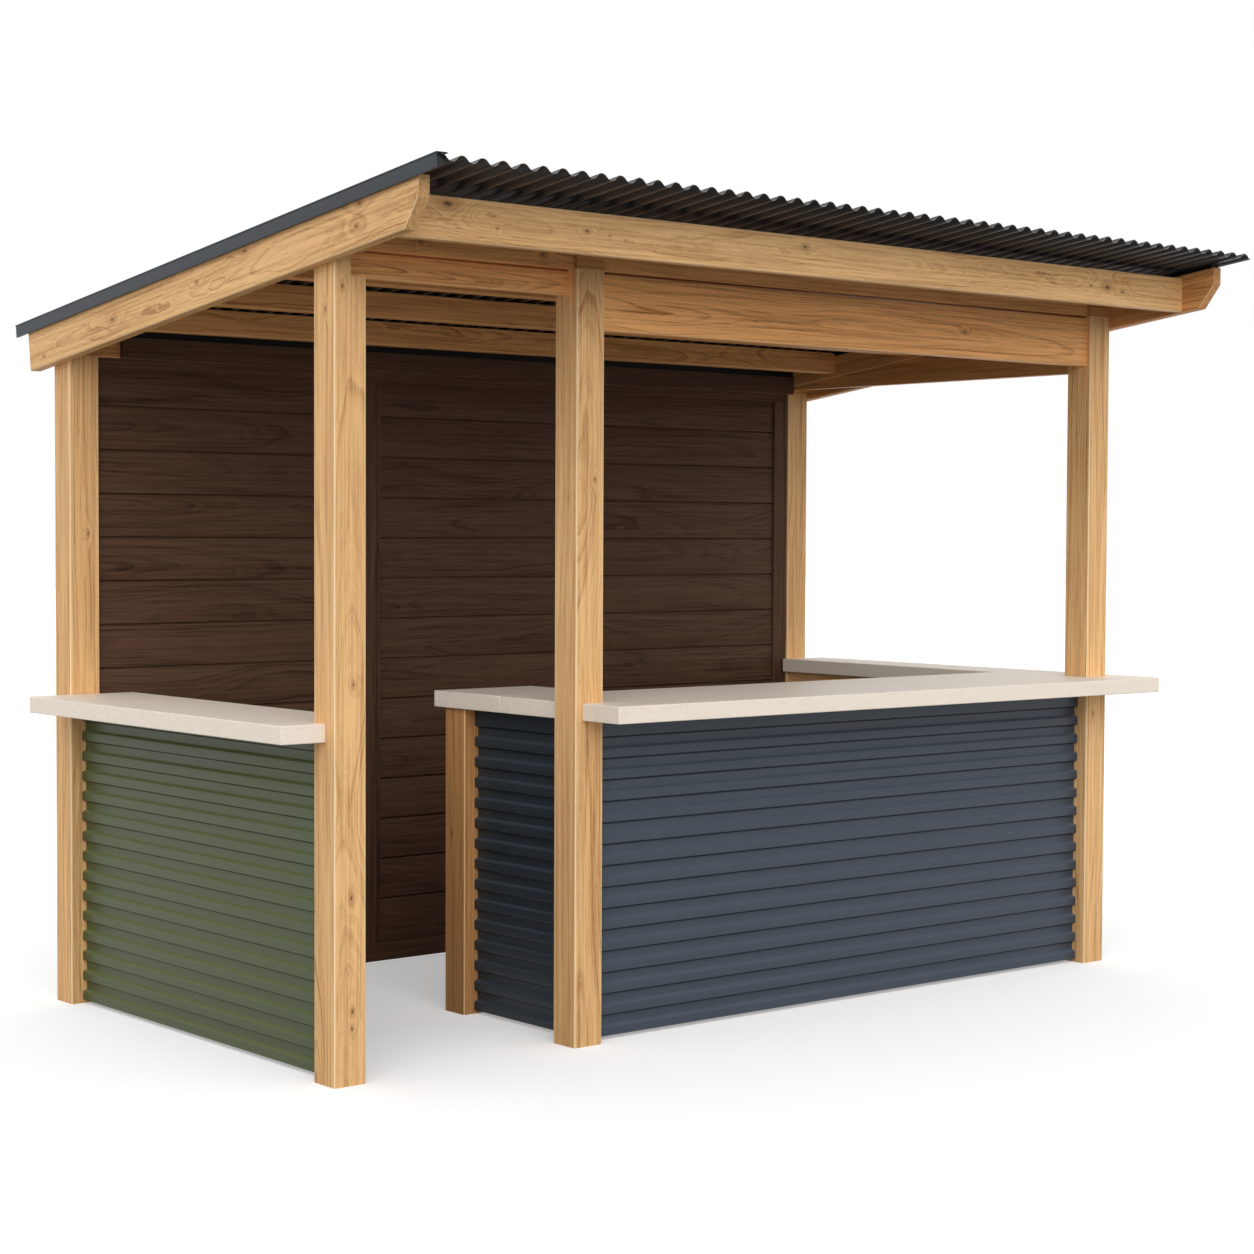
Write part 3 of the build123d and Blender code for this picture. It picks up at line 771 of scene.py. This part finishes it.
# %% Roof screws
screw_rise = 0.0055
washer_radius = 0.0085
head_radius = 0.0048
washer_rise = 0.0018
head_base = 0.0024
screw_sides = 6
screw_every = 2
screw_profile = [(washer_radius, 0.0), (washer_radius * 0.8, washer_rise),
                 (head_radius, head_base), (head_radius, screw_rise)]


def screw(x, run):
    """A six-sided screw head on its washer, standing on a crest."""
    corners = []
    for radius, lift in screw_profile:
        for corner in range(screw_sides):
            turn = corner * 2 * math.pi / screw_sides
            corners.append(on_roof(x + radius * math.cos(turn), crest_height + lift,
                                   run + radius * math.sin(turn)))
    faces = [tuple(range(len(corners) - screw_sides, len(corners))), tuple(range(screw_sides - 1, -1, -1))]
    for level in range(len(screw_profile) - 1):
        for corner in range(screw_sides):
            near = screw_sides * level + corner
            far = screw_sides * level + (corner + 1) % screw_sides
            faces.append((near, far, far + screw_sides, near + screw_sides))
    return corners, faces


carriers = ("head_plates", "purlin_front", "purlin_middle", "purlin_rear", "back_beam")
screw_lines = [middle(node).y for node in carriers]
crests = range(screw_every, round((cad_high.x - first_crest) / wave_pitch), screw_every)
roof_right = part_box("roof_sheet_5")[1].x
screws = [screw(first_crest + crest * wave_pitch, (sheets_back - y) / math.cos(roof_pitch))
          for y in screw_lines for crest in crests if first_crest + crest * wave_pitch < roof_right]
new_piece("roof_screws", joined("roof_screws", screws), "roof_metal", None, anthracite_coat, smooth_below=20)
print("screws:", len(screws))

# %% [markdown]
# ## Verge trim
# A folded strip covers the left edge of the sheets. Its face has a hem folded back
# under the bottom, which stiffens it, and a small rolled bead along the top, coloured dark as
# painted shade for the dark line there. The front end is closed by a tab, set back so that the first crest
# shows.

# %% Verge trim
trim_low, trim_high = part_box("verge_trim_left")
trim_drop = 0.010
trim_top = 0.038
trim_front_reach = 0.004
trim_back_reach = 0.018
flange = trim_high.x - trim_low.x
hem = 0.013
trim_steel = 0.0012
trim_fold = 0.0022
flange_lip = 0.003
bead_height = 0.0050
bead_depth = 0.0016
bead_inset = 0.0006
bead_fold = 0.0007
tab_foot = 0.004
tab_inner_foot = 0.006
tab_inner_gap = 0.002
tab_inner_drop = 0.0045
tab_outer_drop = 0.0015
tab_setback = 0.012
trim_face = trim_low.x + bead_depth
trim_run = sheets_length + trim_front_reach + trim_back_reach
trim_line = rounded([
    (trim_face + hem, -trim_drop + 3.0 * trim_steel),
    (trim_face + 2 * trim_steel, -trim_drop + trim_steel),
    (trim_face + trim_steel / 2, -trim_drop + trim_steel),
    (trim_face + trim_steel / 2, trim_top - trim_steel / 2),
    (trim_low.x + flange - trim_steel, trim_top - trim_steel / 2),
    (trim_low.x + flange - trim_steel, trim_top - flange_lip)], trim_fold)


def along_trim(point, end):
    """A place on the trim from its section and the share of its run."""
    return on_roof(point.x, point.y, end * trim_run - trim_back_reach)


trim_mesh = thin_sheet("verge_trim", trim_line, trim_steel, along_trim)
new_piece("verge_trim", trim_mesh, "trim_metal", ["verge_trim_left"], grey_coat, anthracite_coat)
# The bead takes the dark coat, as painted shade for the dark line along the trim's top edge.
bead_outline = rounded([
    (trim_face, trim_top - bead_height / 2), (trim_face, trim_top - bead_height),
    (trim_low.x, trim_top - bead_height), (trim_low.x, trim_top - bead_inset),
    (trim_face, trim_top - bead_inset), (trim_face, trim_top - bead_height / 2)], bead_fold, 3)[:-1]
new_piece("verge_trim_bead", joined("verge_trim_bead", [bar(bead_outline, along_trim)]), "trim_metal", None,
          anthracite_coat)
tab_inner = trim_low.x + flange - tab_inner_gap
tab_outline = [(trim_face + trim_steel, -trim_drop + tab_foot), (tab_inner, tab_inner_foot),
               (tab_inner, trim_top - tab_inner_drop), (trim_face + trim_steel, trim_top - tab_outer_drop)]
tab_run = sheets_length - tab_setback
tab = bar([Vector(point) for point in tab_outline],
          lambda point, end: on_roof(point.x, point.y, tab_run + end * trim_steel))
new_piece("verge_trim_tab", joined("verge_trim_tab", [tab]), "trim_metal", None, anthracite_coat)
print("trim length:", round(trim_run, 3))

# %% [markdown]
# ## Ribbed panels
# The counters are clad with rolled panels whose ribs run level. The rolls leave small
# radii at each fold. They are what catches the light as a thin bright line above each
# rib and lets a dark line stay below it, so the folds are rounded and not sharp.

# %% Ribbed panels
rib_pitch = 0.075
rib_flat = 0.031
rib_slope = 0.007
rib_depth = 0.016
panel_steel = 0.0009
fold_radius = 0.0022


def rib_line(foot, top):
    """Section of a panel from its foot to its top: depth behind the crests, then height."""
    ribs = int((top - foot + 1e-6) // rib_pitch)
    line = []
    for rib in range(ribs):
        base = foot + rib * rib_pitch
        line += [(0, base), (0, base + rib_flat), (rib_depth, base + rib_flat + rib_slope),
                 (rib_depth, base + rib_pitch - rib_slope)]
    line += [(0, foot + ribs * rib_pitch), (0, top)]
    return rounded(line, fold_radius, 3)


panels = {
    "left": (green_coat, "green_metal", along_x, along_y),
    "front": (blue_coat, "blue_metal", along_y, along_x),
    "return": (painted_shade_blue_coat, "blue_metal", along_x, along_y),
    "right": (blue_coat, "blue_metal", -along_x, along_y),
}
for side, (coat, slot, inward, run) in panels.items():
    node = f"counter_panel_{side}"
    low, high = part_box(node)
    face = low.dot(inward) if inward.dot(Vector((1, 1, 0))) > 0 else high.dot(inward)
    line = rib_line(low.z, high.z)
    start = low.dot(run)
    length = high.dot(run) - start
    mesh = thin_sheet(f"ribbed_panel_{side}", line, panel_steel,
                      lambda point, end: (inward * (face + panel_steel / 2 + point.x) + along_z * point.y
                                          + run * (start + end * length)))
    new_piece(f"ribbed_panel_{side}", mesh, slot, [node], coat, zinc_edge)
print("folds in the front panel:", len(rib_line(*[corner.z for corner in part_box("counter_panel_front")])))

# %% [markdown]
# ## Worktops
# The tops look like honed stone: a warm pale ground with fine darker and lighter
# specks, faintly streaked along each slab. A cell pattern places the specks, and each
# cell's random colour picks which of them show.

# %% Worktop finish
grit_scale = 210.0
fleck_scale = 330.0
speck_strength = 0.35
slab_ease = 0.0030


def speckled_stone(name, ground, dark_speck, light_speck):
    """Honed composite with fine dark and light specks and faint streaks along the slabs."""
    finish = Finish(name)
    grit = finish.node("ShaderNodeTexVoronoi", {}, {"Vector": finish.place, "Scale": grit_scale})
    pick = finish.node("ShaderNodeSeparateColor", {}, {"Color": grit["Color"]})
    fleck = finish.noise(finish.place, fleck_scale, 2.0)
    streak = finish.noise(finish.place * (3.0, 26.0, 60.0), 1.0, 4.0, 0.6)
    spot = 1 - grit["Distance"].step(0.25, 0.5)
    colour = finish.blend(ground, dark_speck, spot * pick["Red"].step(0.70, 0.8) * speck_strength)
    colour = finish.blend(colour, light_speck, spot * pick["Green"].step(0.78, 0.84) * speck_strength)
    colour = colour * ((streak - 0.5) * 0.12 + (fleck - 0.5) * 0.20 + 1.0)
    return finish.wear(Base_Color=colour, Roughness=0.46 + (streak - 0.5) * 0.16,
                       Normal=finish.relief(fleck, 0.0001))


stone = speckled_stone("speckled_stone", seen(244, 232, 217), seen(182, 160, 136), seen(255, 252, 246))
print("specks are about", round(1000 / grit_scale, 1), "mm apart")

# %% [markdown]
# Each slab is cut round the posts. The plan is made from rectangles, so that the hole
# for a post is simply a rectangle left out, and a bevel eases the edges that stand at
# an angle.

# %% Slabs


def slab(name, node, rectangles, hole=None):
    """A slab in the fixed part's place from rectangles (low x, low y, high x, high y)."""
    low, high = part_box(node)
    outlines = rectangles + ([hole] if hole else [])
    columns = sorted({round(edge, 6) for outline in outlines for edge in (outline[0], outline[2])})
    rows = sorted({round(edge, 6) for outline in outlines for edge in (outline[1], outline[3])})

    def inside(x, y, outline):
        return outline[0] < x < outline[2] and outline[1] < y < outline[3]

    builder = bmesh.new()
    grid = {}
    for left_x, right_x in zip(columns, columns[1:]):
        for front_y, back_y in zip(rows, rows[1:]):
            x = (left_x + right_x) / 2
            y = (front_y + back_y) / 2
            if not any(inside(x, y, outline) for outline in rectangles) or (hole and inside(x, y, hole)):
                continue
            ring = [(left_x, front_y), (right_x, front_y), (right_x, back_y), (left_x, back_y)]
            for corner in ring:
                if corner not in grid:
                    grid[corner] = builder.verts.new((*corner, low.z))
            builder.faces.new([grid[corner] for corner in ring])
    raised = bmesh.ops.extrude_face_region(builder, geom=builder.faces[:])
    tops = [part for part in raised["geom"] if isinstance(part, bmesh.types.BMVert)]
    bmesh.ops.translate(builder, verts=tops, vec=(0, 0, high.z - low.z))
    bmesh.ops.dissolve_limit(builder, angle_limit=math.radians(1), verts=builder.verts, edges=builder.edges)
    mesh = bpy.data.meshes.new(name)
    builder.to_mesh(mesh)
    builder.free()
    piece = new_piece(name, mesh, "worktop_stone", [node], stone)
    ease = piece.modifiers.new("eased edges", "BEVEL")
    ease.width = slab_ease
    ease.segments = 3
    ease.limit_method = "ANGLE"
    ease.angle_limit = math.radians(40)


left_low, left_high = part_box("worktop_left")
front_low, front_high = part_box("worktop_front")
return_low, return_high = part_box("worktop_return")
side_low, side_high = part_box("worktop_right")
entry_low, entry_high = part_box("post_front_middle")
end_low, end_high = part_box("post_front_right")
left_inner_start = 0.228
slab("slab_left", "worktop_left", [
    (left_low.x, left_low.y, corner_low.x, left_high.y),
    (corner_low.x, corner_high.y, corner_high.x, left_high.y),
    (corner_high.x, corner_low.y + left_inner_start, left_high.x, left_high.y)])
slab("slab_front", "worktop_front", [
    (front_low.x, front_low.y, front_high.x, entry_low.y),
    (entry_high.x, entry_low.y, front_high.x, front_high.y),
    (return_low.x, entry_high.y, front_high.x, front_high.y)],
    hole=(end_low.x, end_low.y, end_high.x, end_high.y))
slab("slab_return", "worktop_return", [(return_low.x, return_low.y, return_high.x, return_high.y)])
slab("slab_right", "worktop_right", [(side_low.x, side_low.y, side_high.x, side_high.y)])
print("slabs are", round((front_high.z - front_low.z) * 1000), "mm thick")

# %% [markdown]
# ## Dark boards
# The back wall is level boards stained walnut brown, set between rails and stiles. One
# finish serves them all: it works out from the height which board a point is on, and a
# white-noise node turns that number into a new cut of wood for each.

# %% Board finish
walnut = (seen(92, 66, 50), seen(38, 24, 17), seen(18, 11, 8), seen(100, 74, 58))
walnut_gloss = 0.12
# Near-black timber colours, used as painted shade.
pitch_black = (seen(24, 23, 22), seen(15, 14, 14), seen(10, 10, 10), seen(30, 29, 28))
joint_shift = 0.019
cut_spread = (9.0, 0.05, 0.12)
cut_start = (0.0, 0.0, -0.06)
boards_low, boards_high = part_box("wall_boards_left")
board_count = 14
board_pitch = (boards_high.z - boards_low.z) / board_count
stile_low, stile_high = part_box("wall_stile_middle")


def own_cut(finish):
    """The place on a board, shifted so that each board is a new cut of wood."""
    row = ((finish.place.dot((0, 0, 1)) - boards_low.z - joint_shift) / board_pitch).whole()
    bay = finish.sum("GREATER_THAN", finish.place.dot((1, 0, 0)), (stile_low.x + stile_high.x) / 2)
    draw = finish.node("ShaderNodeTexWhiteNoise", {"noise_dimensions": "2D"},
                       {"Vector": finish.vector(row + 0.5, bay + 0.5, 0.0)})["Color"]
    shift = finish.node("ShaderNodeVectorMath", {"operation": "MULTIPLY_ADD"},
                        {0: draw, 1: cut_spread, 2: cut_start})[0]
    return finish.place - finish.vector(0.0, 0.0, row * board_pitch) + shift


board_centre = Vector((0, boards_low.y, boards_low.z + joint_shift + board_pitch / 2))
board_wood = timber("walnut_boards", board_centre, along_x, along_z, heart=(0.0, 0.075), ring=0.006,
                    swirl=0.013, stretch=2.2, seed=7.0, palette=walnut, spot=own_cut, gloss=walnut_gloss)
rail_wood = timber("walnut_rails", middle("wall_bottom_rail"), along_x, along_z, heart=(0.03, 0.05),
                   seed=21.0, palette=walnut, gloss=walnut_gloss)
stile_wood = timber("walnut_stiles", middle("wall_stile_middle"), along_z, along_x, heart=(0.03, 0.05),
                    seed=27.0, palette=walnut, gloss=walnut_gloss)
for node in ("wall_bottom_rail", "wall_top_rail"):
    dress(node, "wall_timber", rail_wood)
dress("wall_stile_right", "wall_timber", stile_wood)
# The roof battens are coloured near black as painted shade, so that from below they read as the shadow under
# the sheets.
painted_shade_black = timber("painted_shade_battens", middle("roof_battens"), along_x, along_y, heart=(0.03, 0.05), seed=33.0,
                     palette=pitch_black, gloss=0.1)
dress("roof_battens", "batten_timber", painted_shade_black)
print("board width:", round(board_pitch * 1000), "mm")

# %% [markdown]
# Each board is rebated: its back half reaches up behind the next board, so no daylight
# comes through the joint. What shows is a dark slot with eased edges. The boards of a
# bay are one mesh, made by a loop.

# %% Boards
slot_height = 0.008
lap_height = 0.012
rebate_gap = 0.0005
board_ease = 0.0016


def board(low, high, row):
    """A board of the bay between low and high, with its back half shifted up by the lap."""
    joint_low = low.z + joint_shift + row * board_pitch
    joint_high = joint_low + board_pitch
    face_low = joint_low + slot_height / 2 if row > 0 else low.z
    face_high = joint_high - slot_height / 2 if row < board_count - 1 else high.z
    back_low = joint_low + lap_height if row > 0 else low.z
    back_high = joint_high + lap_height - slot_height / 2 if row < board_count - 1 else high.z
    front = [(low.y, (face_low + face_high) / 2), (low.y, face_low)]
    back = [(high.y, back_low), (high.y, back_high)]
    rebate = (low.y + high.y) / 2
    if row > 0:
        front += [(rebate - rebate_gap, face_low), (rebate - rebate_gap, back_low)]
    if row < board_count - 1:
        back += [(rebate + rebate_gap, back_high), (rebate + rebate_gap, face_high)]
    outline = rounded([*front, *back, (low.y, face_high), (low.y, (face_low + face_high) / 2)], board_ease, 2)
    return bar(outline[:-1], lambda point, end: Vector((low.x + end * (high.x - low.x), point.x, point.y)))


for side in ("left", "right"):
    node = f"wall_boards_{side}"
    low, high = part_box(node)
    boards = [board(low, high, row) for row in range(board_count)]
    new_piece(f"boards_{side}", joined(f"boards_{side}", boards), "wall_timber", [node], board_wood)
print("boards:", 2 * board_count, "each", round(board_pitch * 1000), "mm wide")

# %% [markdown]
# The middle stile is a moulding with two narrow grooves and a bead at each side. The
# head board stops short of the roof, and a strip coloured near black as painted shadow closes the gap above
# it.

# %% Moulded stile and head board
groove = 0.006
bead_width = 0.016
bead_setback = 0.006
stile_face = stile_low.y
stile_steps = [(0.0, bead_setback), (bead_width, bead_setback), (bead_width, groove + bead_setback),
               (bead_width + groove, groove + bead_setback), (bead_width + groove, 0.0)]
stile_front = [(stile_low.x + x, stile_face + depth) for x, depth in stile_steps]
stile_front += [(stile_high.x - x, stile_face + depth) for x, depth in reversed(stile_steps)]
stile_corners = [*stile_front, (stile_high.x, stile_high.y), (stile_low.x, stile_high.y)]
stile_height = stile_high.z - stile_low.z
stile_bar = bar([Vector(point) for point in stile_corners],
                lambda point, end: Vector((point.x, point.y, stile_low.z + end * stile_height)))
new_piece("stile_middle", joined("stile_middle", [stile_bar]), "wall_timber", ["wall_stile_middle"],
          stile_wood)

board_low, board_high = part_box("wall_head_board")
strip_height = 0.050
strip_setback = 0.007


def block(low, high):
    """A plain block between two corners, for joined meshes."""
    corners = ((low.y, low.z), (high.y, low.z), (high.y, high.z), (low.y, high.z))
    outline = [Vector(corner) for corner in corners]
    return bar(outline, lambda point, end: Vector((low.x + end * (high.x - low.x), point.x, point.y)))


strip_base = board_high.z - strip_height
head_board = block(board_low, Vector((board_high.x, board_high.y, strip_base)))
new_piece("head_board", joined("head_board", [head_board]), "wall_timber", ["wall_head_board"], rail_wood)
# The strip is near black as painted shadow in the gap under the rear purlin.
strip = block(Vector((board_low.x, board_low.y + strip_setback, strip_base)), board_high)
new_piece("painted_shadow_strip", joined("painted_shadow_strip", [strip]), "batten_timber", None, painted_shade_black)
print("stile grooves:", 2, "strip:", round(strip_height * 1000), "mm")

# %% [markdown]
# Looks never change the size. The box of the fixed parts, kept from the start, and the
# box of the dressed stall are written side by side.

# %% Sizes
low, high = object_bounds()
print("grew by (mm):", [round((b - a) * 1000, 1) for a, b in zip(cad_high, high)],
      [round((a - b) * 1000, 1) for a, b in zip(cad_low, low)])
